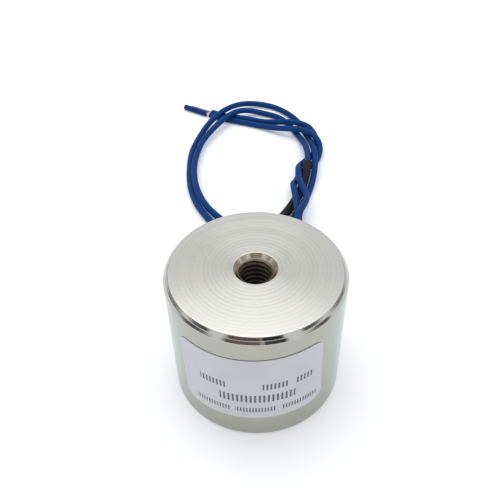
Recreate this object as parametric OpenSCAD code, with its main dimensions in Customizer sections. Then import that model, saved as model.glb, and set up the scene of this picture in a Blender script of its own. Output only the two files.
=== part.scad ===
// Holding electromagnet: a turned steel pot with a coil inside, standing on its holding face.
// Frame: origin at the centre of the holding face, Z up to the tapped back, leads toward +Y.

/* [Housing] */
// Outer diameter of the pot
body_d = 30; // [28:0.5:34]
// Height of the pot from the holding face to the back
body_h = 25; // [24:0.5:32]
// Thickness of the outer wall
wall_t = 2.2; // [1.6:0.1:2.6]
// Thickness of the back
back_t = 5; // [4:0.5:6]
// Diameter of the centre pole
pole_d = 12.5; // [12:0.25:13.5]
// Radial width of the rim's upper facet
rim_upper_w = 0.44; // [0.2:0.02:0.6]
// Drop of the rim's upper facet
rim_upper_drop = 0.42; // [0.2:0.02:0.6]
// Radial width of the rim's lower facet
rim_lower_w = 0.36; // [0.2:0.02:0.5]
// Drop of the rim's lower facet
rim_lower_drop = 0.54; // [0.3:0.02:0.8]
// Chamfer round the foot of the wall
foot_chamfer = 0.3; // [0.1:0.05:0.6]
// Edge break on the pole and on the inside of the wall
edge_break = 0.2; // [0.1:0.05:0.4]

/* [Mounting thread] */
// Major diameter of the thread
thread_d = 6; // [5:1:6]
// Pitch of the thread
thread_pitch = 1; // [0.8:0.1:1]
// Depth of the thread below the back
thread_depth = 10; // [7:0.5:12]
// Length of the tap drill's hole below the thread
drill_run = 2.5; // [1:0.5:4]
// Included angle of the drill point
drill_angle = 118; // [90:1:140]
// Width of the countersink at the back, beyond the thread on each side
countersink_w = 0.65; // [0.2:0.05:1]

/* [Coil] */
// Clearance between bobbin and pole
bobbin_gap = 0.15; // [0.05:0.05:0.3]
// Thickness of the bobbin's tube
bobbin_wall = 0.7; // [0.5:0.1:0.9]
// Thickness of a bobbin flange
flange_t = 0.8; // [0.6:0.1:1]
// Clearance between flange and housing wall
flange_gap = 0.3; // [0.1:0.05:0.5]
// Width of the slot in the upper flange
slot_w = 1; // [0.8:0.1:1.4]
// Room left for the joints between the taped winding and the housing wall
joint_room = 2.58; // [2.4:0.02:2.8]
// Thickness of the tape round the winding
tape_t = 0.12; // [0.08:0.02:0.2]
// Distance of the tape's upper edge below the winding's upper edge
tape_short = 0.6; // [0.4:0.1:1.2]
// Thickness of the potting ring
potting_t = 1.3; // [0.8:0.1:2]
// Distance of the potting's face behind the holding face
potting_recess = 0.3; // [0.1:0.05:0.6]
// Small gap between pieces that lie against each other
seat_gap = 0.05; // [0.02:0.01:0.08]

/* [Joints in the pot] */
// Diameter of a winding tail
tail_d = 0.3; // [0.2:0.02:0.4]
// Diameter of a solder joint
solder_d = 1.2; // [1:0.05:1.3]
// Angle from the lead hole at which a solder joint starts
solder_from = 24; // [20:1:26]
// Angle from the lead hole at which a solder joint ends
solder_to = 38; // [34:1:40]
// Angle from the lead hole at which a winding tail turns up
tail_turn = 50; // [46:1:56]
// Angle by which a joint patch overlaps its joint at each end
patch_margin = 4; // [2:0.5:6]
// Height of a joint patch
patch_h = 2.4; // [1.6:0.1:3]
// Thickness of a joint patch
patch_t = 0.1; // [0.06:0.02:0.14]

/* [Leads] */
// Outer diameter of a lead's insulation
wire_d = 1.6; // [1.4:0.02:1.6]
// Diameter of a lead's bundle of strands
strand_d = 0.76; // [0.6:0.02:0.9]
// Wall of a lead's sleeve
sleeve_t = 0.25; // [0.15:0.05:0.25]
// Diameter of the lead hole
lead_hole_d = 5; // [4.8:0.1:6]
// Distance of the lead hole's axis below the back
lead_drop = 9; // [8.5:0.1:10]
// Distance of each lead from the middle of the lead hole
lead_x = 1.2; // [1.15:0.01:1.3]
// Distance that the leads reach inside the wall
lead_reach = 0.65; // [0.3:0.05:0.8]
// Length of strands bared in front of the insulation slug of lead 1
bare_1 = 1.2; // [0.5:0.1:3]
// Length of the insulation slug of lead 1
slug_1 = 8; // [4:0.5:9]
// Length of strands bared at the end of lead 2
bare_2 = 7.2; // [3:0.1:9]

/* [Label] */
// Length of the label round the wall
label_w = 25.3; // [16:0.1:32]
// Height of the label
label_h = 15.2; // [8:0.1:18]
// Radius of the label's corners
label_corner = 1.6; // [0.5:0.1:3]
// Height of the label's middle
label_z = 12.8; // [11:0.1:13.5]
// Turn of the label's middle from the front
label_turn = -4.2; // [-30:0.1:30]
// Lean of the label
label_tilt = -1.8; // [-4:0.1:4]
// Thickness of the label
label_t = 0.1; // [0.06:0.02:0.2]

/* [Hidden] */
turned_fn = 96;
small_fn = 24;
sweep_sides = 8;
past = 1;

// Housing
body_r = body_d / 2;
window_r = body_r - wall_t;
window_top = body_h - back_t;
pole_r = pole_d / 2;
rim_mid_r = body_r - rim_lower_w;
rim_in_r = rim_mid_r - rim_upper_w;
rim_mid_z = body_h - rim_upper_drop;
rim_low_z = rim_mid_z - rim_lower_drop;
thread_r = thread_d / 2;
thread_floor = body_h - thread_depth;
thread_mouth = body_h - countersink_w;
drill_r = thread_r - thread_pitch / 2;
drill_floor = thread_floor - drill_run;
drill_tip = drill_floor - drill_r / tan(drill_angle / 2);

// Coil
potting_top = potting_recess + potting_t;
bobbin_in_r = pole_r + bobbin_gap;
bobbin_out_r = bobbin_in_r + bobbin_wall;
bobbin_floor = potting_top;
bobbin_top = window_top - seat_gap;
flange_r = window_r - flange_gap;
winding_in_r = bobbin_out_r + seat_gap;
tape_out_r = window_r - joint_room;
tape_in_r = tape_out_r - tape_t;
winding_r = tape_in_r - seat_gap;
winding_floor = bobbin_floor + flange_t + seat_gap;
winding_top = bobbin_top - flange_t - seat_gap;
tape_top = winding_top - tape_short;

// Joints: a ring path between the tape and the wall, at the height of the lead hole
joint_r = tape_out_r + seat_gap + solder_d / 2;
strand_r = strand_d / 2;
finish_z = tape_top + tape_short / 2;
start_z = bobbin_top - flange_t / 2;
start_in_r = bobbin_out_r + seat_gap + 2 * tail_d;
patch_r = joint_r + solder_d / 2 + seat_gap;
strand_turn = asin(lead_x / joint_r);

// Leads: low is the height of a lead's axis on the table, dip_z and slope_z those of its first bend
wire_r = wire_d / 2;
sleeve_in_r = wire_r + seat_gap;
sleeve_r = sleeve_in_r + sleeve_t;
lead_in_y = window_r - lead_reach;
low = 0.85;
lead_z = body_h - lead_drop;
dip_z = lead_z - 1.2;
slope_z = lead_z - 5.2;
route_1 = [[-lead_x, lead_in_y, lead_z], [-lead_x, body_r + past, lead_z], [-1, 21, dip_z],
           [0.1, 26.5, slope_z], [1.9, 31.8, 5.9], [4.5, 37.5, 2.2], [7.5, 43, 1.2], [10.5, 49, 1.25],
           [12.6, 55, 1.8], [13.35, 58.4, 2.55], [13.8, 61.5, 2.85], [14.1, 66.6, 2.7], [13.6, 72, 2],
           [12.4, 77, 1.1], [10.6, 82.2, low], [7.4, 87.2, 0.9], [2.8, 89.9, 0.95], [-1.8, 90.3, 1.7],
           [-5.3, 88.1, 2.55], [-9.1, 83.6, 2.5], [-12.1, 78.2, 2.3], [-14.2, 73.2, 2.1], [-15.3, 68, 2],
           [-15.75, 62.6, 1.95], [-15.35, 56.4, 2], [-14.1, 50.6, 2.2], [-11.5, 45.3, 1.3],
           [-7.1, 39.8, 0.9], [-3, 33.8, low], [3.4, 31.7, 0.9], [8.35, 34, 1.25], [10, 38.7, 3.05],
           [9.95, 43.4, 3.35], [9.7, 49, 3.2], [9.65, 52.6, 2.45], [10.6, 56, 0.95], [12, 59.4, low],
           [14.6, 62.4, 0.9], [16.8, 65.7, 0.95], [17.75, 69.8, 2.25], [16.8, 73, 3.15], [14, 76.4, 3.25],
           [8.6, 79.2, 2.2], [2, 82.8, 0.95], [-5, 85.7, low], [-10.4, 87.9, low], [-13, 89.55, low]];
route_2 = [[lead_x, lead_in_y, lead_z], [lead_x, body_r + past, lead_z], [1.4, 21, dip_z],
           [2.6, 26, slope_z], [4.6, 31.2, 5.9], [7.1, 36.5, 2.2], [8.8, 40.2, 1.4], [10.75, 44.6, 0.95],
           [12.85, 49.4, 0.9], [14.55, 54.8, 1.3], [15.75, 61, 2.4], [16, 67, 2.75], [15.6, 72.4, 1.9],
           [14.55, 78.4, 0.95], [13, 84.4, low], [9.8, 89.9, low], [5.1, 94.1, low], [-0.8, 95.1, 1.3],
           [-6, 91.8, 2.4], [-10.2, 87, 2.55], [-13.3, 81.9, 1.9], [-15.45, 76.4, 1.2],
           [-16.9, 70.4, low], [-17.15, 64, low], [-16.75, 57.6, low], [-15.65, 51.4, low],
           [-13.3, 45.2, low], [-9.8, 39.2, low], [-6, 33.4, low], [-1, 30, low], [6, 29.8, 1.05],
           [9.35, 32.9, 2.3], [10.05, 37.6, 4.7], [11.5, 41.9, 4.6], [12.3, 45.1, 4], [11.5, 50.8, 3.6],
           [11.1, 54.7, 3.3], [11.25, 58.5, 2.9], [11.9, 62, 1.5], [14.4, 66, low], [16.6, 69.6, low],
           [17.3, 74.8, 1.1], [15.4, 79.2, 2.5], [10, 82, 2.6], [4, 84.6, 1.1], [-3, 87.4, low],
           [-8.65, 88.95, low], [-12.4, 91.1, low]];
sleeve_1_points = 11;
sleeve_2_points = 7;

// Label
label_in_r = body_r + seat_gap / 2;
label_chord = 2 * body_r * sin(label_w / body_r * 90 / PI);

// Sweep along a route: a ring of points square to the route at each of its points
function unit(v) = v / norm(v);
function first(path, count) = [for (i = [0 : count - 1]) path[i]];
function step_in(path, i) = i == 0 ? path[1] - path[0] : path[i] - path[i - 1];
function step_out(path, i) = i == len(path) - 1 ? step_in(path, i) : path[i + 1] - path[i];
function heading(path, i) = unit(unit(step_in(path, i)) + unit(step_out(path, i)));
function across(path, i) = unit(cross(heading(path, i), [0, 0, 1]));
function upward(path, i) = cross(across(path, i), heading(path, i));
function spoke(path, i, a) = across(path, i) * cos(a) + upward(path, i) * sin(a);
function ring(path, i, r) = [for (k = [0 : sweep_sides - 1])
    path[i] + r * spoke(path, i, k * 360 / sweep_sides)];
function rings(path, r) = [for (i = [0 : len(path) - 1]) each ring(path, i, r)];
function corner(i, k) = i * sweep_sides + k % sweep_sides;
function skin(count) = [for (i = [0 : count - 2], k = [0 : sweep_sides - 1])
    each [[corner(i, k), corner(i + 1, k), corner(i, k + 1)],
          [corner(i, k + 1), corner(i + 1, k), corner(i + 1, k + 1)]]];
function start_cap() = [[for (k = [0 : sweep_sides - 1]) k]];
function end_cap(count) = [[for (k = [sweep_sides - 1 : -1 : 0]) corner(count - 1, k)]];

function pipe_end(i, inner, far) = [for (k = [0 : sweep_sides - 1])
    let (a = corner(i, k), b = corner(i, k + 1))
    each far ? [[a, a + inner, b], [b, a + inner, b + inner]]
             : [[a, b, a + inner], [b, b + inner, a + inner]]];

module swept(path, r) {
    polyhedron(points = rings(path, r),
               faces = concat(start_cap(), skin(len(path)), end_cap(len(path))));
}

module swept_pipe(path, r_out, r_in) {
    count = len(path);
    inner = count * sweep_sides;
    polyhedron(points = concat(rings(path, r_out), rings(path, r_in)),
               faces = concat(skin(count),
                              [for (f = skin(count)) [f[0] + inner, f[2] + inner, f[1] + inner]],
                              pipe_end(0, inner, false),
                              pipe_end(count - 1, inner, true)));
}

// Places a piece at the end of a route, with its Z along the route's last step
module at_end(path) {
    last = len(path) - 1;
    dir = unit(path[last] - path[last - 1]);
    translate(path[last])
        rotate([0, acos(dir.z), atan2(dir.y, dir.x)])
            children();
}

// Round bar bent along the joint ring, between two angles from the lead hole
module ring_bar(from, to, d) {
    translate([0, 0, lead_z])
        rotate([0, 0, 90 - to])
            rotate_extrude(angle = to - from, $fn = turned_fn)
                translate([joint_r, 0])
                    circle(d = d, $fn = small_fn);
}

// Radial bar at the angle where the winding tails turn up
module radial_bar(r_in, r_out, z, d) {
    rotate([0, 0, 90 - tail_turn])
        translate([r_in, 0, z])
            rotate([0, 90, 0])
                cylinder(d = d, h = r_out - r_in, $fn = small_fn);
}

// Upright bar at the same angle
module upright_bar(r, z_from, z_to, d) {
    rotate([0, 0, 90 - tail_turn])
        translate([r, 0, z_from])
            cylinder(d = d, h = z_to - z_from, $fn = small_fn);
}

// Rounds the corner between two bars
module elbow(r, z, d) {
    rotate([0, 0, 90 - tail_turn])
        translate([r, 0, z])
            sphere(d = d, $fn = small_fn);
}

module pot_housing() {
    color("#c9c6bd")
        difference() {
            rotate_extrude($fn = turned_fn)
                polygon([[0, 0],
                         [pole_r - edge_break, 0],
                         [pole_r, edge_break],
                         [pole_r, window_top],
                         [window_r, window_top],
                         [window_r, edge_break],
                         [window_r + edge_break, 0],
                         [body_r - foot_chamfer, 0],
                         [body_r, foot_chamfer],
                         [body_r, rim_low_z],
                         [rim_mid_r, rim_mid_z],
                         [rim_in_r, body_h],
                         [thread_r + countersink_w, body_h],
                         [thread_r, thread_mouth],
                         [thread_r, thread_floor],
                         [drill_r, thread_floor],
                         [drill_r, drill_floor],
                         [0, drill_tip]]);
            translate([0, pole_r + past, lead_z])
                rotate([-90, 0, 0])
                    cylinder(d = lead_hole_d, h = body_r, $fn = turned_fn);
        }
}

module coil_bobbin() {
    color("#e6e0cc")
        difference() {
            rotate_extrude($fn = turned_fn)
                polygon([[bobbin_in_r, bobbin_floor],
                         [flange_r, bobbin_floor],
                         [flange_r, bobbin_floor + flange_t],
                         [bobbin_out_r, bobbin_floor + flange_t],
                         [bobbin_out_r, bobbin_top - flange_t],
                         [flange_r, bobbin_top - flange_t],
                         [flange_r, bobbin_top],
                         [bobbin_in_r, bobbin_top]]);
            rotate([0, 0, 90 + tail_turn])
                translate([start_in_r - slot_w / 2, -slot_w / 2, bobbin_top - flange_t - past])
                    cube([window_r, slot_w, flange_t + 2 * past]);
        }
}

module coil_winding() {
    color("#b0682f")
        rotate_extrude($fn = turned_fn)
            translate([winding_in_r, winding_floor])
                square([winding_r - winding_in_r, winding_top - winding_floor]);
}

module coil_tape() {
    color("#d9b94a")
        rotate_extrude($fn = turned_fn)
            translate([tape_in_r, winding_floor])
                square([tape_t, tape_top - winding_floor]);
}

module potting_ring() {
    color("#26262a")
        rotate_extrude($fn = turned_fn)
            translate([pole_r + seat_gap / 2, potting_recess])
                square([window_r - pole_r - seat_gap, potting_t]);
}

// Tail from the inside of the winding: up at the slot, out over the winding, down to its joint
module coil_tail_start() {
    color("#a85c2a")
        mirror([1, 0, 0]) {
            ring_bar(solder_to, tail_turn, tail_d);
            elbow(joint_r, lead_z, tail_d);
            upright_bar(joint_r, lead_z, start_z, tail_d);
            elbow(joint_r, start_z, tail_d);
            radial_bar(start_in_r, joint_r, start_z, tail_d);
            elbow(start_in_r, start_z, tail_d);
            upright_bar(start_in_r, winding_top, start_z, tail_d);
        }
}

// Tail from the outside of the winding: out above the tape's edge, down to its joint
module coil_tail_finish() {
    color("#a85c2a") {
        ring_bar(solder_to, tail_turn, tail_d);
        elbow(joint_r, lead_z, tail_d);
        upright_bar(joint_r, lead_z, finish_z, tail_d);
        elbow(joint_r, finish_z, tail_d);
        difference() {
            radial_bar(winding_in_r, joint_r, finish_z, tail_d);
            cylinder(r = winding_r, h = body_h, $fn = turned_fn);
        }
    }
}

module solder_joint_start() {
    color("#b9bbbe")
        mirror([1, 0, 0])
            ring_bar(solder_from, solder_to, solder_d);
}

module solder_joint_finish() {
    color("#b9bbbe")
        ring_bar(solder_from, solder_to, solder_d);
}

module joint_patch() {
    rotate([0, 0, 90 - solder_to - patch_margin])
        rotate_extrude(angle = solder_to - solder_from + 2 * patch_margin, $fn = turned_fn)
            translate([patch_r, lead_z - patch_h / 2])
                square([patch_t, patch_h]);
}

module joint_patch_start() {
    color("#d9b94a")
        mirror([1, 0, 0])
            joint_patch();
}

module joint_patch_finish() {
    color("#d9b94a")
        joint_patch();
}

// Bare strands from a lead's end to its solder joint
module inner_strands() {
    elbow_y = joint_r * cos(strand_turn);
    ring_bar(strand_turn, solder_from, strand_d);
    translate([lead_x, elbow_y, lead_z])
        sphere(d = strand_d + seat_gap, $fn = small_fn);
    translate([lead_x, elbow_y, lead_z])
        rotate([-90, 0, 0])
            cylinder(d = strand_d, h = lead_in_y - elbow_y, $fn = small_fn);
}

module inner_strands_1() {
    color("#c8c6c2")
        mirror([1, 0, 0])
            inner_strands();
}

module inner_strands_2() {
    color("#c8c6c2")
        inner_strands();
}

module lead_sleeve_1() {
    color("#222226")
        swept_pipe(first(route_1, sleeve_1_points), sleeve_r, sleeve_in_r);
}

module lead_sleeve_2() {
    color("#222226")
        swept_pipe(first(route_2, sleeve_2_points), sleeve_r, sleeve_in_r);
}

module lead_wire_1() {
    color("#1f4a96")
        swept(route_1, wire_r);
}

module lead_wire_2() {
    color("#1f4a96")
        swept(route_2, wire_r);
}

module lead_strands_1() {
    color("#c8c6c2")
        at_end(route_1)
            cylinder(d = strand_d, h = bare_1 + slug_1, $fn = small_fn);
}

module lead_strands_2() {
    color("#c8c6c2")
        at_end(route_2)
            cylinder(d = strand_d, h = bare_2, $fn = small_fn);
}

module insulation_slug_1() {
    color("#1f4a96")
        at_end(route_1)
            translate([0, 0, bare_1])
                difference() {
                    cylinder(r = wire_r, h = slug_1, $fn = small_fn);
                    translate([0, 0, -past])
                        cylinder(r = strand_r + seat_gap / 2, h = slug_1 + 2 * past, $fn = small_fn);
                }
}

module label_outline() {
    square([label_chord - 2 * label_corner, label_h], center = true);
    square([label_chord, label_h - 2 * label_corner], center = true);
    for (sx = [-1, 1], sy = [-1, 1])
        translate([sx * (label_chord / 2 - label_corner), sy * (label_h / 2 - label_corner)])
            circle(r = label_corner, $fn = small_fn);
}

module side_label() {
    color("#d8d8e0")
        rotate([0, 0, label_turn])
            intersection() {
                translate([0, 0, label_z])
                    rotate([90, label_tilt, 0])
                        linear_extrude(height = body_d)
                            label_outline();
                difference() {
                    cylinder(r = label_in_r + label_t, h = body_h, $fn = turned_fn);
                    cylinder(r = label_in_r, h = body_h, $fn = turned_fn);
                }
            }
}

pot_housing();
coil_bobbin();
coil_winding();
coil_tape();
potting_ring();
coil_tail_start();
coil_tail_finish();
solder_joint_start();
solder_joint_finish();
joint_patch_start();
joint_patch_finish();
inner_strands_1();
inner_strands_2();
lead_sleeve_1();
lead_sleeve_2();
lead_wire_1();
lead_wire_2();
lead_strands_1();
lead_strands_2();
insulation_slug_1();
side_label();
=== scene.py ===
"""Looks of a holding electromagnet: its leads, its turned and plated pot, its label and its studio."""

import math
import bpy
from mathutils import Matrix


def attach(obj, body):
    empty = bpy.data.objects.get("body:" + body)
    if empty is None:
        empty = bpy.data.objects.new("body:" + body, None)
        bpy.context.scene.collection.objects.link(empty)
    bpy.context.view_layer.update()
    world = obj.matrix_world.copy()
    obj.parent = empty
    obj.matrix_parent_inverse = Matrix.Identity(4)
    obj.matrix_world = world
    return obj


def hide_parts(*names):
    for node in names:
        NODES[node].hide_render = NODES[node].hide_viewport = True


bl_info = {
    "name": "Holding electromagnet",
    "version": (1, 0, 0),
    "blender": (4, 5, 0),
    "location": "View3D > Sidebar > Magnet",
    "description": "Builds the leads, the turned pot, the finishes and the studio of a holding electromagnet",
    "category": "Object",
}

import bpy
import numpy as np
from bpy.props import FloatProperty, FloatVectorProperty, IntProperty, PointerProperty
from mathutils import Matrix

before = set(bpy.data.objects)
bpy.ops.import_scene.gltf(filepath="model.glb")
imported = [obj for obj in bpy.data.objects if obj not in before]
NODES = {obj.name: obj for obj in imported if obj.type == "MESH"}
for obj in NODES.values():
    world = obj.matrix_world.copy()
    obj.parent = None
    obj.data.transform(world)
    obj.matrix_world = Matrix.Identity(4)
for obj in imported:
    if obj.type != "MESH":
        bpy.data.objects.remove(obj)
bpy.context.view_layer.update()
MM = 0.001

# Points that the two leads follow, in millimetres, from inside the pot's wall to the cut insulation
ROUTE_1 = np.array([
    (-1.2, 12.15, 16), (-1.2, 16, 16), (-1, 21, 14.8), (0.1, 26.5, 10.8), (1.9, 31.8, 5.9),
    (4.5, 37.5, 2.2), (7.5, 43, 1.2), (10.5, 49, 1.25), (12.6, 55, 1.8), (13.35, 58.4, 2.55),
    (13.8, 61.5, 2.85), (14.1, 66.6, 2.7), (13.6, 72, 2), (12.4, 77, 1.1), (10.6, 82.2, 0.85),
    (7.4, 87.2, 0.9), (2.8, 89.9, 0.95), (-1.8, 90.3, 1.7), (-5.3, 88.1, 2.55), (-9.1, 83.6, 2.5),
    (-12.1, 78.2, 2.3), (-14.2, 73.2, 2.1), (-15.3, 68, 2), (-15.75, 62.6, 1.95), (-15.35, 56.4, 2),
    (-14.1, 50.6, 2.2), (-11.5, 45.3, 1.3), (-7.1, 39.8, 0.9), (-3, 33.8, 0.85), (3.4, 31.7, 0.9),
    (8.35, 34, 1.25), (10, 38.7, 3.05), (9.95, 43.4, 3.35), (9.7, 49, 3.2), (9.65, 52.6, 2.45),
    (10.6, 56, 0.95), (12, 59.4, 0.85), (14.6, 62.4, 0.9), (16.8, 65.7, 0.95), (17.75, 69.8, 2.25),
    (16.8, 73, 3.15), (14, 76.4, 3.25), (8.6, 79.2, 2.2), (2, 82.8, 0.95), (-5, 85.7, 0.85),
    (-10.4, 87.9, 0.85), (-13, 89.55, 0.85)])
ROUTE_2 = np.array([
    (1.2, 12.15, 16), (1.2, 16, 16), (1.4, 21, 14.8), (2.6, 26, 10.8), (4.6, 31.2, 5.9), (7.1, 36.5, 2.2),
    (8.8, 40.2, 1.4), (10.75, 44.6, 0.95), (12.85, 49.4, 0.9), (14.55, 54.8, 1.3), (15.75, 61, 2.4),
    (16, 67, 2.75), (15.6, 72.4, 1.9), (14.55, 78.4, 0.95), (13, 84.4, 0.85), (9.8, 89.9, 0.85),
    (5.1, 94.1, 0.85), (-0.8, 95.1, 1.3), (-6, 91.8, 2.4), (-10.2, 87, 2.55), (-13.3, 81.9, 1.9),
    (-15.45, 76.4, 1.2), (-16.9, 70.4, 0.85), (-17.15, 64, 0.85), (-16.75, 57.6, 0.85),
    (-15.65, 51.4, 0.85), (-13.3, 45.2, 0.85), (-9.8, 39.2, 0.85), (-6, 33.4, 0.85), (-1, 30, 0.85),
    (6, 29.8, 1.05), (9.35, 32.9, 2.3), (10.05, 37.6, 4.7), (11.5, 41.9, 4.6), (12.3, 45.1, 4),
    (11.5, 50.8, 3.6), (11.1, 54.7, 3.3), (11.25, 58.5, 2.9), (11.9, 62, 1.5), (14.4, 66, 0.85),
    (16.6, 69.6, 0.85), (17.3, 74.8, 1.1), (15.4, 79.2, 2.5), (10, 82, 2.6), (4, 84.6, 1.1),
    (-3, 87.4, 0.85), (-8.65, 88.95, 0.85), (-12.4, 91.1, 0.85)])
LEADS = (
    {"number": 1, "route": ROUTE_1, "sleeve_points": 11, "bare": 1.2, "slug": 8.0},
    {"number": 2, "route": ROUTE_2, "sleeve_points": 7, "bare": 7.2, "slug": 0.0},
)

# Turned section of the pot from the countersink to the middle of the pole: radius, height, edge radius
SECTION = np.array([
    (3.25, 24.6, 0.0), (3.65, 25, 0.06), (14.2, 25, 0.09), (14.64, 24.58, 0.07), (15, 24.04, 0.1),
    (15, 0.3, 0.08), (14.7, 0, 0.08), (13, 0, 0.06), (12.8, 0.2, 0.06), (12.8, 20, 0.1), (6.25, 20, 0.1),
    (6.25, 0.2, 0.06), (6.05, 0, 0.06), (0.4, 0, 0.0)])


class MagnetSizes(bpy.types.PropertyGroup):
    """Sizes of the pieces that are built here"""

    wire_d: FloatProperty(
        name="Lead", description="Outer diameter of a lead's insulation",
        default=1.6 * MM, min=1.4 * MM, max=1.6 * MM, subtype="DISTANCE", unit="LENGTH")
    sleeve_d: FloatProperty(
        name="Sleeve", description="Outer diameter of a lead's sleeve",
        default=2.2 * MM, min=2.0 * MM, max=2.3 * MM, subtype="DISTANCE", unit="LENGTH")
    strand_d: FloatProperty(
        name="Strand bundle", description="Diameter of a lead's bundle of strands",
        default=0.76 * MM, min=0.6 * MM, max=0.9 * MM, subtype="DISTANCE", unit="LENGTH")
    strand_twist: FloatProperty(
        name="Strand twist", description="Length in which the strands turn once round the bundle",
        default=7.0 * MM, min=3.0 * MM, max=15.0 * MM, subtype="DISTANCE", unit="LENGTH")
    thread_d: FloatProperty(
        name="Thread", description="Major diameter of the thread in the back",
        default=6.0 * MM, min=5.0 * MM, max=6.0 * MM, subtype="DISTANCE", unit="LENGTH")
    thread_pitch: FloatProperty(
        name="Thread pitch", description="Distance between two turns of the thread",
        default=1.0 * MM, min=0.8 * MM, max=1.0 * MM, subtype="DISTANCE", unit="LENGTH")
    turned_steps: IntProperty(
        name="Steps round the pot", description="Number of faces round the turned pot",
        default=192, min=96, max=256)


class MagnetColours(bpy.types.PropertyGroup):
    """Colours of the finishes"""

    plating: FloatVectorProperty(
        name="Plating", description="Nickel plating on the pot", subtype="COLOR", size=3,
        default=(0.5, 0.497, 0.474), min=0, max=1)
    insulation: FloatVectorProperty(
        name="Insulation", description="PVC of the leads", subtype="COLOR", size=3,
        default=(0.0015, 0.042, 0.185), min=0, max=1)
    sleeve: FloatVectorProperty(
        name="Sleeve", description="Sleeves on the leads", subtype="COLOR", size=3,
        default=(0.009, 0.01, 0.014), min=0, max=1)
    tinned: FloatVectorProperty(
        name="Tinned strands", description="Bare strands of the leads", subtype="COLOR", size=3,
        default=(0.68, 0.67, 0.65), min=0, max=1)
    label: FloatVectorProperty(
        name="Label", description="Paper of the label", subtype="COLOR", size=3,
        default=(0.6, 0.605, 0.645), min=0, max=1)
    ink: FloatVectorProperty(
        name="Ink", description="Strokes printed on the label", subtype="COLOR", size=3,
        default=(0.06, 0.06, 0.065), min=0, max=1)


# Surfaces


def quads(rows, columns, close_rows=False, close_columns=False):
    """Faces of a grid of points stored row by row: each takes a point, its neighbour in the row and the two
    above. A closed direction joins its last line to its first."""
    r = np.arange(rows if close_rows else rows - 1)[:, None]
    c = np.arange(columns if close_columns else columns - 1)[None, :]
    r1, c1 = (r + 1) % rows, (c + 1) % columns
    corners = [r * columns + c, r * columns + c1, r1 * columns + c1, r1 * columns + c]
    return np.stack(corners, -1).reshape(-1, 4)


def fan(ring, centre, turn):
    """Triangles from each side of a closed ring of point numbers to one middle point, turned over if
    asked."""
    after = np.roll(ring, -1)
    middle = np.full_like(ring, centre)
    return np.stack([after, ring, middle] if turn else [ring, after, middle], -1)


def new_piece(name, points, *face_sets, uv=None):
    """A mesh object at the origin from points in metres and sets of faces, smooth all over.
    uv gives each point's place on the surface; on a face that crosses the seam its small values are raised
    by 1."""
    mesh = bpy.data.meshes.new(name)
    mesh.from_pydata(np.asarray(points, float).tolist(), [], [f for s in face_sets for f in s.tolist()])
    mesh.validate()
    mesh.polygons.foreach_set("use_smooth", np.ones(len(mesh.polygons), bool))
    mesh.set_sharp_from_angle(angle=math.radians(50))
    if uv is not None:
        corner = np.zeros(len(mesh.loops), np.int32)
        mesh.loops.foreach_get("vertex_index", corner)
        first = np.zeros(len(mesh.polygons), np.int32)
        count = np.zeros(len(mesh.polygons), np.int32)
        mesh.polygons.foreach_get("loop_start", first)
        mesh.polygons.foreach_get("loop_total", count)
        place = np.asarray(uv, float)[corner]
        widest = np.repeat(np.maximum.reduceat(place[:, 0], first), count)
        place[:, 0] += (widest - place[:, 0]) > 0.5
        layer = mesh.uv_layers.new(name="surface")
        layer.data.foreach_set("uv", place.astype(np.float32).ravel())
    mesh.update()
    obj = bpy.data.objects.new(name, mesh)
    bpy.context.scene.collection.objects.link(obj)
    return obj


def settle(obj, slot, material, *replaced):
    """Gives a piece its finish, puts it on the body and hides the solids it stands for. Its slot is not used.
    """
    obj.data.materials.clear()
    obj.data.materials.append(material)
    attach(obj, "root")
    if replaced:
        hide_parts(*replaced)
    return obj


def smooth_route(points, step):
    """Natural cubic spline through the points over their chord lengths, sampled about every step.
    The second derivatives come from one linear system whose first and last rows hold them at zero."""
    chord = np.linalg.norm(np.diff(points, axis=0), axis=1)
    t = np.concatenate([[0], np.cumsum(chord)])
    n = len(points)
    k = np.arange(1, n - 1)
    system = np.eye(n)
    system[k, k - 1] = chord[:-1] / 6
    system[k, k] = (chord[:-1] + chord[1:]) / 3
    system[k, k + 1] = chord[1:] / 6
    slope = np.diff(points, axis=0) / chord[:, None]
    right = np.zeros_like(points)
    right[1:-1] = np.diff(slope, axis=0)
    second = np.linalg.solve(system, right)
    at = np.linspace(0, t[-1], int(t[-1] / step) + 1)
    i = np.clip(np.searchsorted(t, at, side="right") - 1, 0, n - 2)
    h = chord[i][:, None]
    a = (t[i + 1] - at)[:, None] / h
    b = 1 - a
    bend = ((a**3 - a) * second[i] + (b**3 - b) * second[i + 1]) * h**2 / 6
    return a * points[i] + b * points[i + 1] + bend, at, t


def axes_along(path):
    """Heading, level side direction and upward direction at each point of a path that is never upright."""
    heading = np.gradient(path, axis=0)
    heading /= np.linalg.norm(heading, axis=1)[:, None]
    side = np.cross(heading, [0, 0, 1])
    side /= np.linalg.norm(side, axis=1)[:, None]
    return heading, side, np.cross(side, heading)


def rings_along(path, radius, sides):
    """Rings of points square to a path: the path's point plus radius times the turning side direction."""
    _, side, up = axes_along(path)
    a = np.arange(sides) / sides * 2 * math.pi
    r = np.broadcast_to(np.asarray(radius, float), (len(path),))[:, None, None]
    level, rise = np.cos(a)[None, :, None], np.sin(a)[None, :, None]
    return path[:, None] + r * (side[:, None] * level + up[:, None] * rise)


def ring_uv(rings, along):
    """Place on a carried ring surface: share of the turn, and the distance along it."""
    rows, sides = rings.shape[:2]
    turn = np.broadcast_to(np.arange(sides) / sides, (rows, sides))
    return np.stack([turn, np.broadcast_to(along[:, None], (rows, sides))], -1).reshape(-1, 2)


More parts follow.
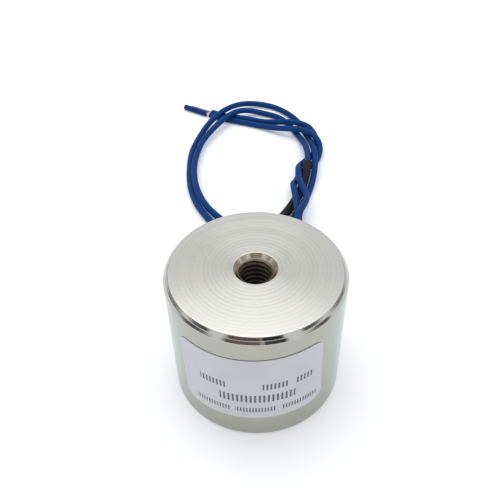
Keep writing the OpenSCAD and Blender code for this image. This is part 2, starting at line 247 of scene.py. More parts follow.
def solid_cord(name, path, radius, sides=16):
    """A closed round cord: rings along the path, an end ring drawn in to round each cut edge, a fan on each
    end."""
    lip = 0.12 * radius
    heading = axes_along(path)[0]
    near, far = path[0] + heading[0] * lip, path[-1] - heading[-1] * lip
    ends = np.concatenate([path[:1], [near], path[1:-1], [far], path[-1:]])
    size = np.full(len(ends), radius)
    size[[0, -1]] = radius - lip
    rings = rings_along(ends, size, sides)
    along = np.concatenate([[0], np.cumsum(np.linalg.norm(np.diff(ends, axis=0), axis=1))])
    points = np.concatenate([rings.reshape(-1, 3), [ends[0]], [ends[-1]]])
    uv = np.concatenate([ring_uv(rings, along), [[0, 0], [0, along[-1]]]])
    count = len(ends) * sides
    first, last = np.arange(sides), np.arange(sides) + count - sides
    return new_piece(name, points, quads(len(ends), sides, close_columns=True)[:, ::-1],
                     fan(first, count, False), fan(last, count + 1, True), uv=uv)


def pipe(name, path, outer, inner, sides=20):
    """A closed pipe: the ring's radius runs along the outside, over a rounded lip, and back along the
    inside."""
    wall = outer - inner
    heading = axes_along(path)[0]
    inset = 0.4 * wall
    start, end = path[0] + heading[0] * inset, path[-1] - heading[-1] * inset
    body = path[1:-1]
    outside = np.concatenate([[path[0]], [start], body, [end], [path[-1]]])
    size = np.full(len(outside), outer)
    size[[0, -1]] = outer - inset
    bore = np.full(len(outside), inner)
    bore[[0, -1]] = inner + 0.2 * wall
    rings = np.concatenate([rings_along(outside, size, sides), rings_along(outside, bore, sides)[::-1]])
    run = np.concatenate([[0], np.cumsum(np.linalg.norm(np.diff(outside, axis=0), axis=1))])
    uv = ring_uv(rings, np.concatenate([run, run[::-1]]))
    return new_piece(name, rings.reshape(-1, 3),
                     quads(len(rings), sides, close_rows=True, close_columns=True)[:, ::-1], uv=uv)


def eased(section, steps=5):
    """Rounds a section's corners: each becomes a curve of second degree from a point before it to a point
    after it, with one more point on each side so that the flats stay flat."""
    corner, size = section[1:-1, :2], section[1:-1, 2:]
    back = section[:-2, :2] - corner
    on = section[2:, :2] - corner
    back /= np.linalg.norm(back, axis=1)[:, None]
    on /= np.linalg.norm(on, axis=1)[:, None]
    t = np.linspace(0, 1, steps)[None, :, None]
    a, b = (corner + back * size)[:, None], (corner + on * size)[:, None]
    curve = (1 - t) ** 2 * a + 2 * t * (1 - t) * corner[:, None] + t**2 * b
    guard = 0.05
    line = np.concatenate([a + guard * back[:, None], curve, b + guard * on[:, None]], 1).reshape(-1, 2)
    return np.concatenate([section[:1, :2], line, section[-1:, :2]])


def filled(line, gap):
    """Adds points along a section so that no step is much longer than the gap."""
    step = np.linalg.norm(np.diff(line, axis=0), axis=1)
    run = np.concatenate([[0], np.cumsum(step)])
    parts = np.maximum(1, np.ceil(step / gap)).astype(int)
    owner = np.repeat(np.arange(len(step)), parts)
    share = (np.arange(len(owner)) - np.repeat(np.cumsum(parts) - parts, parts)) / parts[owner]
    at = np.append(run[owner] + share * step[owner], run[-1])
    return np.stack([np.interp(at, run, line[:, 0]), np.interp(at, run, line[:, 1])], -1)


def pot_surface(sizes):
    """The whole turned skin as one closed grid of radius over angle and height.
    Rows run from the drill's tip up the threaded bore, over the back and rim, down the wall, under the foot,
    through the coil's window and down the pole. In the bore the radius is the drill's plus a 60 degree groove
    that climbs one pitch a turn, or the countersink's cone where that is wider."""
    columns = sizes.turned_steps
    turn = np.arange(columns) / columns
    pitch, major = sizes.thread_pitch / MM, sizes.thread_d / 2 / MM
    minor = major - 0.5413 * pitch
    drill, floor, mouth = major - pitch / 2, 15.0, 24.6
    tip = np.array([(0.3, 11.18), (1.2, 11.72), (drill, 12.5), (drill, 13.6), (drill, 14.7)])
    height = np.arange(floor, mouth - 1e-6, pitch / 16)[:, None]
    wave = np.abs(2 * np.mod(height / pitch - turn[None], 1) - 1)
    groove = 1 - np.clip((wave - 0.125) / 0.625, 0, 1)
    deep = np.clip((height - floor) / (1.5 * pitch), 0, 1)
    cone = major + (height - (25 - 0.65))
    bore = np.maximum(drill + (minor - drill) * deep + (major - minor) * groove * deep, cone)
    skin = filled(eased(SECTION), 0.5)
    radius = np.concatenate([np.repeat(tip[:, :1], columns, 1), bore, np.repeat(skin[:, :1], columns, 1)])
    level = np.concatenate([tip[:, 1], height[:, 0], skin[:, 1]])
    a = turn * 2 * math.pi
    points = np.stack([radius * np.cos(a), radius * np.sin(a), np.repeat(level[:, None], columns, 1)], -1)
    return points


def round_opening(points, rows, columns, level, hole, loops=4):
    """Opens a round hole in a wall that faces +Y. The block of faces between the given rows and columns goes,
    and loops of points run from its edge to the hole: side distance and height pass evenly from the edge to
    the circle, and the depth follows the wall's radius. Gives the loops and the point numbers of the block's
    edge."""
    (r0, r1), (c0, c1), width = rows, columns, points.shape[1]
    r, c = np.arange(r0, r1 + 1), np.arange(c0, c1 + 1)
    edge = np.concatenate([r0 * width + c[:-1], r[:-1] * width + c1,
                           r1 * width + c[:0:-1], r[:0:-1] * width + c0])
    rim = points.reshape(-1, 3)[edge]
    wall = math.hypot(*rim[0, :2])
    angle = np.arctan2(rim[:, 2] - level, rim[:, 0])
    share = np.linspace(0, 1, loops + 1)[1:, None]
    x = rim[:, 0] * (1 - share) + hole * np.cos(angle) * share
    z = rim[:, 2] * (1 - share) + (level + hole * np.sin(angle)) * share
    return np.stack([x, np.sqrt(wall**2 - x**2), z], -1), edge


def build_pot(sizes):
    """The pot's skin with the lead hole: the turned grid, a round opening in each side of its wall, the hole
    between them, and a fan of faces on the drill's tip and on the middle of the pole."""
    points = pot_surface(sizes)
    rows, columns = points.shape[:2]
    faces = quads(rows, columns, close_columns=True)[:, ::-1].reshape(rows - 1, columns, 4)
    reach, level = np.hypot(points[:, 0, 0], points[:, 0, 1]), points[:, 0, 2]
    hole, height, half_rows, half_columns = 2.5, 16.0, 7, columns // 24
    span = (columns // 4 - half_columns, columns // 4 + half_columns)
    keep = np.ones((rows - 1, columns), bool)
    parts, patches, rims, start = [points.reshape(-1, 3)], [], [], rows * columns
    for wall in (15.0, 12.8):
        near = np.where(np.abs(reach - wall) < 1e-4, np.abs(level - height), np.inf).argmin()
        block = (near - half_rows, near + half_rows)
        loops, edge = round_opening(points, block, span, height, hole)
        keep[block[0]:block[1], span[0]:span[1]] = False
        number = np.concatenate([edge, start + np.arange(loops.size // 3)]).reshape(-1, len(edge))
        after = np.roll(number, -1, axis=1)
        patches.append(np.stack([number[:-1], number[1:], after[1:], after[:-1]], -1).reshape(-1, 4))
        parts.append(loops.reshape(-1, 3))
        rims.append(number[-1])
        start += loops.size // 3
    outer, turned = rims[0], (4 * half_columns + 2 * half_rows - np.arange(len(rims[0]))) % len(rims[0])
    inner = rims[1][turned]
    patches.append(np.stack([outer, inner, np.roll(inner, -1), np.roll(outer, -1)], -1))
    parts.append(np.array([(0, 0, 11.0), (0, 0, 0)]))
    first = np.arange(columns)
    return new_piece("pot_body", np.concatenate(parts) * MM, faces[keep], *patches,
                     fan(first, start, False), fan(first + (rows - 1) * columns, start + 1, True))


def build_strands(name, start, heading, length, sizes):
    """Seven twisted strands, one straight and six that climb round it: each a round cord whose middle turns
    about the bundle's axis once in the twist length."""
    fine = sizes.strand_d / 6
    side = np.cross(heading, [0, 0, 1.0])
    up = np.cross(side, heading)
    run = np.linspace(0, length, int(length / (0.25 * MM)) + 2)[:, None]
    sides, points, faces, begin = 8, [], [], 0
    for k in range(7):
        a = run / sizes.strand_twist * 2 * math.pi + k * math.pi / 3
        out = 2 * fine if k else 0.0
        path = start + heading * run + out * (side * np.cos(a) + up * np.sin(a))
        rings = rings_along(path, fine * 0.98, sides)
        count = len(path) * sides
        points += [rings.reshape(-1, 3), path[:1], path[-1:]]
        ring = np.arange(sides) + begin
        faces += [quads(len(path), sides, close_columns=True)[:, ::-1] + begin,
                  fan(ring, begin + count, False), fan(ring + count - sides, begin + count + 1, True)]
        begin += count + 2
    return new_piece(name, np.concatenate(points), *faces)


def build_slug(name, start, heading, length, outer, inner):
    """A cut piece of insulation: a short pipe whose rings are evenly spaced along a straight line."""
    run = np.linspace(0, 1, 14)[:, None]
    return pipe(name, start + heading * run * length, outer, inner, sides=20)


# Finishes


class Finish:
    """One procedural finish: a principled shader and the nodes that feed it."""

    def __init__(self, name, **sockets):
        self.material = bpy.data.materials.new(name)
        self.material.use_nodes = True
        self.tree = self.material.node_tree
        self.tree.nodes.clear()
        self.shader = self.node("BsdfPrincipled", **sockets)
        out = self.node("OutputMaterial")
        self.tree.links.new(self.shader.outputs["BSDF"], out.inputs["Surface"])
        self.place = self.node("TexCoord").outputs["Object"]

    def node(self, kind, settings=(), **sockets):
        made = self.tree.nodes.new("ShaderNode" + kind)
        for key, value in dict(settings).items():
            setattr(made, key, value)
        for key, value in sockets.items():
            self.feed(made.inputs[key.replace("_", " ")], value)
        return made

    def feed(self, socket, value):
        if isinstance(value, bpy.types.NodeSocket):
            self.tree.links.new(value, socket)
        elif socket.type == "RGBA" and len(value) == 3:
            socket.default_value = (*value, 1)
        else:
            socket.default_value = value

    def set(self, **sockets):
        for key, value in sockets.items():
            self.feed(self.shader.inputs[key.replace("_", " ")], value)

    def math(self, operation, *values, clamp=False):
        made = self.node("Math", {"operation": operation, "use_clamp": clamp})
        for socket, value in zip(made.inputs, values):
            self.feed(socket, value)
        return made.outputs[0]

    def split(self, vector):
        made = self.node("SeparateXYZ", Vector=vector)
        return [self.math("MULTIPLY", made.outputs[k], 1000.0) for k in "XYZ"]

    def join(self, x, y, z):
        return self.node("CombineXYZ", X=x, Y=y, Z=z).outputs[0]

    def noise(self, vector, scale, detail=2.0, roughness=0.5):
        made = self.node("TexNoise", Vector=vector, Scale=scale, Detail=detail, Roughness=roughness)
        return made.outputs["Fac"]

    def spread(self, value, low, high, to_low, to_high):
        made = self.node("MapRange", Value=value)
        for key, number in zip(("From Min", "From Max", "To Min", "To Max"), (low, high, to_low, to_high)):
            self.feed(made.inputs[key], number)
        return made.outputs[0]

    def mix(self, share, first, second):
        made = self.node("Mix", {"data_type": "RGBA"})
        self.feed(made.inputs[0], share)
        self.feed(made.inputs[6], first)
        self.feed(made.inputs[7], second)
        return made.outputs[2]

    def choose(self, share, first, second):
        made = self.node("Mix", {"data_type": "FLOAT"})
        for k, value in zip((0, 2, 3), (share, first, second)):
            self.feed(made.inputs[k], value)
        return made.outputs[0]

    def bump(self, height, distance, strength=1.0):
        return self.node("Bump", Height=height, Distance=distance, Strength=strength).outputs[0]


def darker(colour, share):
    """The colour with each part multiplied by the share."""
    return tuple(c * share for c in colour)


def plated_steel(colours):
    """Nickel plating over turned steel: rings of tool marks on the back, a smoother wall, polished rim
    facets. Painted light: painted shade in the tool-mark grooves, a wall painted darker and warmer as
    shade, a countersink painted beige as a warm reflection, and a bore painted with darker bands and with
    painted shade that darkens downward. A tool mark is a sine of the radius, and slow noise shifts it."""
    plating = tuple(colours.plating)
    f = Finish("plated_steel", Metallic=1.0, Anisotropic=0.6, Anisotropic_Rotation=0.25,
               Specular_Tint=(0.9, 0.95, 0.96))
    x, y, z = f.split(f.place)
    r = f.math("SQRT", f.math("ADD", f.math("MULTIPLY", x, x), f.math("MULTIPLY", y, y)))
    reach = f.math("MAXIMUM", r, 0.01)
    cx, cy = f.math("DIVIDE", x, reach), f.math("DIVIDE", y, reach)

    def rings(across, pitch, sweep, detail):
        """Marks that change quickly across the tool's path and slowly round it."""
        return f.noise(f.join(f.math("MULTIPLY", across, 1 / pitch), f.math("MULTIPLY", cx, sweep),
                              f.math("MULTIPLY", cy, sweep)), 1.0, detail, 0.55)

    back = f.math("MULTIPLY", f.math("GREATER_THAN", z, 24.985), f.math("LESS_THAN", r, 14.24))
    rim = f.math("MULTIPLY", f.math("GREATER_THAN", z, 24.0), f.math("GREATER_THAN", r, 14.0))
    rim = f.math("MULTIPLY", rim, f.math("SUBTRACT", 1.0, back))
    hole = f.math("MULTIPLY", f.spread(r, 3.6, 3.7, 1, 0), f.math("GREATER_THAN", z, 10.0))
    # masks of the painted shade in the bore: brown below 24.2 mm, near black below 23.75 mm
    painted_bore_shade = f.math("MULTIPLY", hole, f.spread(z, 24.2, 24.4, 1, 0))
    deep = f.math("MULTIPLY", hole, f.spread(z, 23.75, 24.2, 0.95, 0))
    coarse, fine, lathe = rings(r, 0.9, 0.35, 2.0), rings(r, 0.16, 0.5, 1.0), rings(z, 0.35, 0.6, 2.0)
    shift = f.math("MULTIPLY", rings(r, 3.0, 0.8, 2.0), 9.0)
    groove = f.math("SINE", f.math("ADD", f.math("MULTIPLY", r, 2 * math.pi / 0.74), shift))
    near = f.spread(r, 4.0, 13.0, 1.0, 0.4)
    cloud = f.noise(f.place, 160.0, 3.0)
    tint = f.mix(f.spread(cloud, 0.3, 0.7, 0, 1), darker(plating, 0.97), darker(plating, 1.03))
    # painted shade: the tool-mark grooves on the back are painted darker, most near the hole, on top of their
    # bump
    painted_groove_shade = f.math("MULTIPLY", back, f.math("MULTIPLY", near, f.spread(groove, -1, 1, 0, 0.5)))
    tint = f.mix(f.math("MULTIPLY", painted_groove_shade, f.spread(fine, 0.3, 0.7, 0.4, 1)), tint, darker(plating, 0.82))
    # painted shade: the wall is painted darker and warmer, standing in for the shaded table that it mirrors
    wall = f.math("MULTIPLY", f.math("LESS_THAN", z, 24.0), f.math("GREATER_THAN", r, 14.9))
    tint = f.mix(f.math("MULTIPLY", wall, 0.8), tint, (0.4, 0.39, 0.335))
    bore_bands = f.math("SINE", f.math("MULTIPLY", z, 2 * math.pi / 0.23))
    # painted reflection: the whole hole is painted warm beige, standing in for the warm reflections in the
    # countersink
    tint = f.mix(f.math("MULTIPLY", hole, 0.75), tint, (0.52, 0.47, 0.36))
    # darker bands round the hole, one every 0.23 mm of height
    tint = f.mix(f.math("MULTIPLY", hole, f.spread(bore_bands, 0.1, 0.9, 0, 0.55)), tint, (0.16, 0.14, 0.1))
    # painted shade: the bore below the countersink is painted brown, then near black further down, darker
    # towards the bottom
    tint = f.mix(painted_bore_shade, tint, (0.27, 0.215, 0.15))
    tint = f.mix(deep, tint, (0.05, 0.044, 0.036))
    rough = f.choose(back, f.spread(cloud, 0.3, 0.7, 0.12, 0.17), f.spread(coarse, 0.3, 0.7, 0.24, 0.3))
    rough = f.choose(rim, rough, 0.1)
    rough = f.choose(hole, rough, f.spread(r, 3.0, 3.1, 0.42, 0.2))
    marks = f.math("ADD", f.math("MULTIPLY", coarse, 0.9), f.math("MULTIPLY", fine, 0.25))
    marks = f.math("MULTIPLY", f.math("ADD", marks, f.math("MULTIPLY", groove, 0.2)), near)
    height = f.choose(back, f.math("MULTIPLY", lathe, 0.1), marks)
    height = f.math("MULTIPLY", height, f.math("SUBTRACT", 1.0, f.math("MAXIMUM", hole, rim)))
    tangent = f.node("Tangent", {"direction_type": "RADIAL", "axis": "Z"}).outputs[0]
    f.set(Base_Color=tint, Roughness=rough, Normal=f.bump(height, 0.00001), Tangent=tangent)
    return f.material


def label_paper(colours):
    """Coated paper with faint fibres and three rows of printed upright strokes that say nothing. A stroke is
    the middle of a cell of its row, where the cell lies inside one of the row's groups."""
    f = Finish("label_paper", Specular_IOR_Level=0.45)
    x, y, z = f.split(f.place)
    round_wall = f.math("MULTIPLY", f.math("ARCTAN2", x, f.math("MULTIPLY", y, -1.0)), 15.0)
    lean = math.tan(math.radians(1.8))
    level = f.math("SUBTRACT", z, f.math("MULTIPLY", f.math("ADD", round_wall, 1.1), lean))
    rows = ((13.7, 1.5, 0.62, ((-7.4, 4.5), (2.9, 4.2), (7.8, 3.4))),
            (10.6, 1.9, 0.72, ((0.0, 12.4),)),
            (7.5, 1.2, 0.5, ((-7.6, 6.2), (-0.4, 6.6), (7.2, 6.4))))
    ink = 0.0
    for height, tall, cell, groups in rows:
        upright = f.math("COMPARE", level, height, tall / 2)
        across = f.math("COMPARE", f.math("FRACT", f.math("DIVIDE", round_wall, cell)), 0.5, 0.24)
        inside = 0.0
        for middle, width in groups:
            inside = f.math("MAXIMUM", inside, f.math("COMPARE", round_wall, middle, width / 2))
        ink = f.math("MAXIMUM", ink, f.math("MULTIPLY", upright, f.math("MULTIPLY", across, inside)))
    fibre = f.noise(f.place, 2600.0, 3.0, 0.6)
    cloud = f.noise(f.place, 130.0, 2.0)
    paper = f.mix(f.spread(cloud, 0.3, 0.7, 0, 1), darker(colours.label, 0.95), darker(colours.label, 1.03))
    worn = f.math("MULTIPLY", ink, f.spread(fibre, 0.3, 0.6, 0.86, 0.96))
    f.set(Base_Color=f.mix(worn, paper, tuple(colours.ink)), Roughness=f.spread(fibre, 0.3, 0.7, 0.42, 0.55),
          Normal=f.bump(fibre, 0.00001, 0.4))
    return f.material


def blue_insulation(colours):
    """Soft PVC: slow changes of shade along the lead, a faint drawn grain and a low gloss."""
    f = Finish("blue_insulation", Specular_IOR_Level=0.12)
    tone = f.noise(f.place, 140.0, 2.0)
    grain = f.noise(f.place, 3200.0, 2.0)
    low, high = darker(colours.insulation, 0.85), darker(colours.insulation, 1.15)
    colour = f.mix(f.spread(tone, 0.3, 0.7, 0, 1), low, high)
    f.set(Base_Color=colour, Roughness=f.spread(tone, 0.3, 0.7, 0.5, 0.6),
          Normal=f.bump(grain, 0.00001, 0.5))
    return f.material


def black_sleeve(colours):
    """Soft black sleeve with a dull, finely pitted skin."""
    f = Finish("black_sleeve", Specular_IOR_Level=0.15)
    grain = f.noise(f.place, 2400.0, 3.0, 0.6)
    tone = f.noise(f.place, 260.0, 2.0)
    colour = f.mix(f.spread(tone, 0.3, 0.7, 0, 1), darker(colours.sleeve, 0.8), darker(colours.sleeve, 1.4))
    f.set(Base_Color=colour, Roughness=f.spread(grain, 0.3, 0.7, 0.48, 0.62),
          Normal=f.bump(grain, 0.00003, 0.6))
    return f.material


def tinned_strands(colours):
    """Tinned copper: grey metal with dull patches and a little copper showing."""
    f = Finish("tinned_strands", Metallic=1.0)
    patch = f.noise(f.place, 1500.0, 3.0)
    colour = f.mix(f.spread(patch, 0.55, 0.8, 0, 0.5), tuple(colours.tinned), (0.55, 0.36, 0.22))
    f.set(Base_Color=colour, Roughness=f.spread(patch, 0.3, 0.7, 0.25, 0.45))
    return f.material


def tin_solder():
    """Dull solder with a fine frosted skin."""
    f = Finish("tin_solder", Metallic=1.0)
    frost = f.noise(f.place, 2600.0, 3.0)
    colour = f.mix(f.spread(frost, 0.3, 0.7, 0, 1), (0.52, 0.53, 0.54), (0.68, 0.69, 0.7))
    f.set(Base_Color=colour, Roughness=f.spread(frost, 0.3, 0.7, 0.28, 0.5),
          Normal=f.bump(frost, 0.00003, 0.5))
    return f.material


def enamelled_copper():
    """Layers of enamelled wire: a rounded ridge for each turn, up the coil, with painted shade in the gaps
    between turns.
    """
    f = Finish("enamelled_copper", Metallic=1.0, Coat_Weight=0.4, Coat_Roughness=0.12)
    z = f.split(f.place)[2]
    turn = f.math("ABSOLUTE", f.math("SINE", f.math("MULTIPLY", z, math.pi / 0.3)))
    tone = f.noise(f.place, 700.0, 2.0)
    colour = f.mix(f.spread(tone, 0.3, 0.7, 0, 1), (0.46, 0.19, 0.075), (0.62, 0.28, 0.12))
    # painted shade: the gaps between the turns are painted dark brown
    f.set(Base_Color=f.mix(f.spread(turn, 0, 0.4, 0.7, 0), colour, (0.14, 0.05, 0.02)),
          Roughness=f.spread(tone, 0.3, 0.7, 0.22, 0.34), Normal=f.bump(turn, 0.00008, 0.8))
    return f.material


def bobbin_nylon():
    """Natural nylon with the faint flow of the moulding."""
    f = Finish("bobbin_nylon", Specular_IOR_Level=0.45)
    flow = f.noise(f.place, 220.0, 4.0, 0.6)
    grain = f.noise(f.place, 2400.0, 2.0)
    f.set(Base_Color=f.mix(f.spread(flow, 0.3, 0.7, 0, 1), (0.74, 0.69, 0.55), (0.84, 0.8, 0.68)),
          Roughness=f.spread(flow, 0.3, 0.7, 0.4, 0.52), Normal=f.bump(grain, 0.00001, 0.5))
    return f.material


def insulating_tape():
    """Thin amber tape with fine cross creases."""
    f = Finish("insulating_tape", Specular_IOR_Level=0.5)
    crease = f.noise(f.place, 900.0, 3.0, 0.6)
    tone = f.noise(f.place, 200.0, 2.0)
    f.set(Base_Color=f.mix(f.spread(tone, 0.3, 0.7, 0, 1), (0.62, 0.4, 0.06), (0.78, 0.55, 0.12)),
          Roughness=f.spread(crease, 0.3, 0.7, 0.18, 0.32), Normal=f.bump(crease, 0.00002, 0.5))
    return f.material


def potting_resin():
    """Cast black resin: glossy, with a slow ripple and small pits."""
    f = Finish("potting_resin", Specular_IOR_Level=0.5)
    ripple = f.noise(f.place, 190.0, 2.0)
    pits = f.noise(f.place, 1800.0, 2.0)
    height = f.math("ADD", ripple, f.math("MULTIPLY", f.spread(pits, 0.62, 0.75, 0, 1), -0.12))
    f.set(Base_Color=f.mix(f.spread(ripple, 0.3, 0.7, 0, 1), (0.018, 0.018, 0.02), (0.034, 0.034, 0.037)),
          Roughness=f.spread(pits, 0.3, 0.7, 0.16, 0.3), Normal=f.bump(height, 0.0002, 0.5))
    return f.material


# Studio


def seen(tree):
    """1 for rays from the camera, from mirrors and through glass, 0 for soft light."""
    path = tree.nodes.new("ShaderNodeLightPath")
    share = path.outputs["Is Camera Ray"]
    for name in ("Is Glossy Ray", "Is Transmission Ray"):
        most = tree.nodes.new("ShaderNodeMath")
        most.operation = "MAXIMUM"
        tree.links.new(share, most.inputs[0])
        tree.links.new(path.outputs[name], most.inputs[1])
        share = most.outputs[0]
    return share


def studio_world():
    """Even pale light from all round; the background itself is white."""
    world = bpy.data.worlds.new("studio")
    bpy.context.scene.world = world
    world.use_nodes = True
    tree = world.node_tree
    tree.nodes.clear()
    level = tree.nodes.new("ShaderNodeMapRange")
    tree.links.new(seen(tree), level.inputs["Value"])
    level.inputs["To Min"].default_value = 0.78
    level.inputs["To Max"].default_value = 1.0
    sky = tree.nodes.new("ShaderNodeBackground")
    sky.inputs["Color"].default_value = (1, 1, 1, 1)
    tree.links.new(level.outputs[0], sky.inputs["Strength"])
    out = tree.nodes.new("ShaderNodeOutputWorld")
    tree.links.new(sky.outputs[0], out.inputs["Surface"])


def studio_floor():
    """A white table: a broad level grid, with a little light of its own toward the camera."""
    line = np.linspace(-1.5, 1.5, 13)
    x, y = np.meshgrid(line, line)
    level = np.full_like(x, -0.00002)
    floor = new_piece("studio_floor", np.stack([x, y, level], -1).reshape(-1, 3), quads(13, 13))
    f = Finish("studio_floor", Roughness=0.9, Specular_IOR_Level=0.1, Base_Color=(0.945, 0.957, 0.972),
               Emission_Color=(0.85, 0.91, 1.0))
    f.set(Emission_Strength=f.math("MULTIPLY", seen(f.tree), 0.165))
    floor.data.materials.append(f.material)


def studio_flag(name, sides, rises, colour, soft=(0.15, 0.2), centre=(0, 0, 0.025), reach=0.4):
    """A dark curved card that only the metal sees: part of a sphere between two bearings from the front and
    two heights above the table, in degrees. Over the soft shares of its width and height its edges fade
    out."""
    u, v = np.meshgrid(np.linspace(0, 1, 12), np.linspace(0, 1, 8))
    bearing = np.radians(sides[0] + u * (sides[1] - sides[0]))
    rise = np.radians(rises[0] + v * (rises[1] - rises[0]))
    card = np.stack([np.sin(bearing) * np.cos(rise), -np.cos(bearing) * np.cos(rise), np.sin(rise)], -1)
    flag = new_piece(name, card.reshape(-1, 3) * reach + np.array(centre), quads(8, 12),
                     uv=np.stack([u, v], -1).reshape(-1, 2))
    f = Finish(name, Base_Color=colour, Roughness=0.8)
    place = f.node("SeparateXYZ", Vector=f.node("TexCoord").outputs["UV"]).outputs
    share = 1.0
    for axis, fade in zip("XY", soft):
        edge = f.math("MINIMUM", place[axis], f.math("SUBTRACT", 1.0, place[axis]))
        share = f.math("MULTIPLY", f.spread(edge, 0, fade, 0, 1), share)
    f.set(Alpha=share)
    flag.data.materials.append(f.material)
    flag.visible_camera = flag.visible_diffuse = flag.visible_shadow = False


def studio_lamp(name, place, aim, size, power):
    """A square soft lamp that points from its place at another point."""
    data = bpy.data.lights.new(name, "AREA")
    data.shape, data.size, data.energy = "SQUARE", size, power
    lamp = bpy.data.objects.new(name, data)
    bpy.context.scene.collection.objects.link(lamp)
    back = np.array(place, float) - np.array(aim, float)
    back /= np.linalg.norm(back)
    across = np.cross([0, 1.0, 0] if abs(back[2]) > 0.9 else [0, 0, 1.0], back)
    across /= np.linalg.norm(across)
    turn = np.eye(4)
    turn[:3, :3] = np.stack([across, np.cross(back, across), back], 1)
    turn[:3, 3] = place
    lamp.matrix_world = Matrix(turn.tolist())


# Operators


class MAGNET_OT_camera(bpy.types.Operator):
    """Stands the camera in front of the pot, looking down at its back"""

    bl_idname = "magnet.camera"
    bl_label = "Camera"

    def execute(self, context):
        pitch, yaw, roll = (math.radians(a) for a in (42.81, -0.72, 1.24))
        ahead = np.array([math.sin(yaw) * math.cos(pitch), math.cos(yaw) * math.cos(pitch), -math.sin(pitch)])
        level = np.array([math.cos(yaw), -math.sin(yaw), 0])
        below = np.cross(ahead, level)
        right = math.cos(roll) * level + math.sin(roll) * below
        down = math.cos(roll) * below - math.sin(roll) * level
        turn = np.eye(4)
        turn[:3, :3] = np.stack([right, -down, -ahead], 1)
        turn[:3, 3] = (0, -0.06932, 0.09316)
        data = bpy.data.cameras.new("camera")
        data.sensor_width, data.lens = 36.0, 604.2 / 500 * 36
        data.clip_start, data.clip_end = 0.005, 10
        camera = bpy.data.objects.new("camera", data)
        context.scene.collection.objects.link(camera)
        camera.matrix_world = Matrix(turn.tolist())
        context.scene.camera = camera
        return {"FINISHED"}


class MAGNET_OT_leads(bpy.types.Operator):
    """Lays the two leads with their sleeves, bare strands and the cut slug of insulation"""

    bl_idname = "magnet.leads"
    bl_label = "Leads"

    def execute(self, context):
        sizes, colours = context.scene.magnet_sizes, context.scene.magnet_colours
        blue, black, tin = blue_insulation(colours), black_sleeve(colours), tinned_strands(colours)
        wire, sleeve = sizes.wire_d / 2, sizes.sleeve_d / 2
        for lead in LEADS:
            number = lead["number"]
            path, at, knots = smooth_route(lead["route"] * MM, 0.6 * MM)
            path[:, 2] = np.maximum(path[:, 2], wire)
            cord = settle(solid_cord(f"lead_{number}", path, wire), "blue_pvc", blue, f"lead_wire_{number}")
            covered = path[at <= knots[lead["sleeve_points"] - 1] + 0.1 * MM]
            cover = settle(pipe(f"sleeve_{number}", covered, sleeve, wire + 0.05 * MM), "black_sleeve", black,
                           f"lead_sleeve_{number}")
            heading = np.diff(lead["route"][-2:], axis=0)[0]
            heading /= np.linalg.norm(heading)
            bare, slug = lead["bare"] * MM, lead["slug"] * MM
            strands = settle(build_strands(f"strands_{number}", path[-1], heading, bare + slug, sizes),
                             "tinned_strands", tin, f"lead_strands_{number}")
            if slug:
                cut = build_slug(f"slug_{number}", path[-1] + heading * bare, heading, slug, wire,
                                 sizes.strand_d / 2 + 0.025 * MM)
                settle(cut, "blue_pvc", blue, f"insulation_slug_{number}")
        return {"FINISHED"}


class MAGNET_OT_pot(bpy.types.Operator):
    """Turns the pot with its rounded edges, its thread and its lead hole"""

    bl_idname = "magnet.pot"
    bl_label = "Pot"

    def execute(self, context):
        scene = context.scene
        pot = build_pot(scene.magnet_sizes)
        settle(pot, "plated_steel", plated_steel(scene.magnet_colours), "pot_housing")
        return {"FINISHED"}


class MAGNET_OT_label(bpy.types.Operator):
    """Prints the label on the wall"""

    bl_idname = "magnet.label"
    bl_label = "Label"

    def execute(self, context):
        dress("side_label", label_paper(context.scene.magnet_colours))
        return {"FINISHED"}


class MAGNET_OT_coil(bpy.types.Operator):
    """Gives the coil, its joints and the resin their finishes"""

    bl_idname = "magnet.coil"
    bl_label = "Coil"

    def execute(self, context):
        copper, tape, tin = enamelled_copper(), insulating_tape(), tin_solder()
        strands = tinned_strands(context.scene.magnet_colours)
        for node, material in (
            ("coil_bobbin", bobbin_nylon()), ("coil_winding", copper), ("coil_tape", tape),
            ("potting_ring", potting_resin()), ("coil_tail_start", copper), ("coil_tail_finish", copper),
            ("solder_joint_start", tin), ("solder_joint_finish", tin), ("joint_patch_start", tape),
            ("joint_patch_finish", tape), ("inner_strands_1", strands), ("inner_strands_2", strands),
        ):
            dress(node, material)
        return {"FINISHED"}


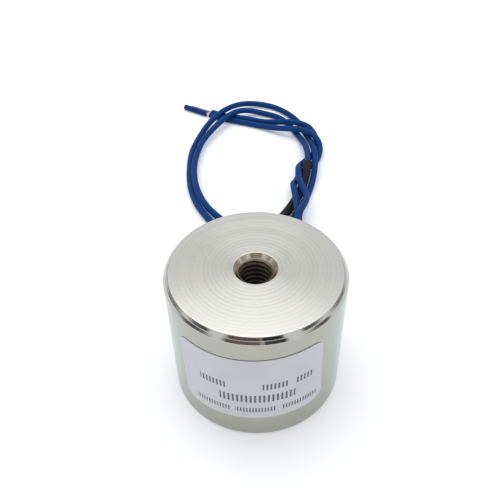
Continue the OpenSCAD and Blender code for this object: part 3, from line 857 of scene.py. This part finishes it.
class MAGNET_OT_stage(bpy.types.Operator):
    """Sets the white table, the even light, the soft lamp and the dark cards that the rim mirrors"""

    bl_idname = "magnet.stage"
    bl_label = "Studio"

    def execute(self, context):
        context.scene.view_settings.view_transform = "Standard"
        studio_world()
        studio_floor()
        studio_lamp("lamp_above", (-0.03, 0.1, 0.4), (0, 0, 0.02), 0.34, 0.6)
        mauve, black = (0.16, 0.1, 0.1), (0.008, 0.008, 0.009)
        dusk, grey = (0.09, 0.09, 0.09), (0.4, 0.4, 0.39)
        for name, sides, rises, colour in (
            ("front_low", (-38, 9), (1, 20), mauve), ("front_high", (-38, 9), (28, 52), mauve),
            ("dark_low", (5, 33), (1, 20), black), ("dark_high", (3, 33), (28, 52), black),
            ("left_high", (-86, -52), (24, 38), dusk), ("right_high", (50, 82), (26, 38), dusk),
            ("left_low", (-112, -42), (0, 11), dusk), ("right_low", (44, 84), (0, 9), dusk),
            ("left_far", (-172, -84), (3, 30), grey), ("right_far", (84, 172), (3, 30), grey),
        ):
            studio_flag("flag_" + name, sides, rises, colour)
        return {"FINISHED"}


def dress(node, material):
    """Gives a CAD node its finish."""
    mesh = NODES[node].data
    mesh.materials.clear()
    mesh.materials.append(material)


class MAGNET_PT_panel(bpy.types.Panel):
    """Lists the pieces, sizes and colours"""

    bl_idname = "MAGNET_PT_panel"
    bl_label = "Holding electromagnet"
    bl_space_type = "VIEW_3D"
    bl_region_type = "UI"
    bl_category = "Magnet"

    def draw(self, context):
        for operator in STEPS:
            self.layout.operator(operator.bl_idname)
        for group in (context.scene.magnet_sizes, context.scene.magnet_colours):
            column = self.layout.column()
            for name in group.__annotations__:
                column.prop(group, name)


STEPS = (MAGNET_OT_camera, MAGNET_OT_leads, MAGNET_OT_pot, MAGNET_OT_label, MAGNET_OT_coil, MAGNET_OT_stage)
CLASSES = (MagnetSizes, MagnetColours, *STEPS, MAGNET_PT_panel)


def register():
    for each in CLASSES:
        bpy.utils.register_class(each)
    bpy.types.Scene.magnet_sizes = PointerProperty(type=MagnetSizes)
    bpy.types.Scene.magnet_colours = PointerProperty(type=MagnetColours)


def unregister():
    del bpy.types.Scene.magnet_colours
    del bpy.types.Scene.magnet_sizes
    for each in reversed(CLASSES):
        bpy.utils.unregister_class(each)


def main():
    """Builds the pieces in order."""
    register()
    bpy.ops.magnet.camera()
    bpy.ops.magnet.leads()
    bpy.ops.magnet.pot()
    bpy.ops.magnet.label()
    bpy.ops.magnet.coil()
    bpy.ops.magnet.stage()


if __name__ == "__main__":
    main()
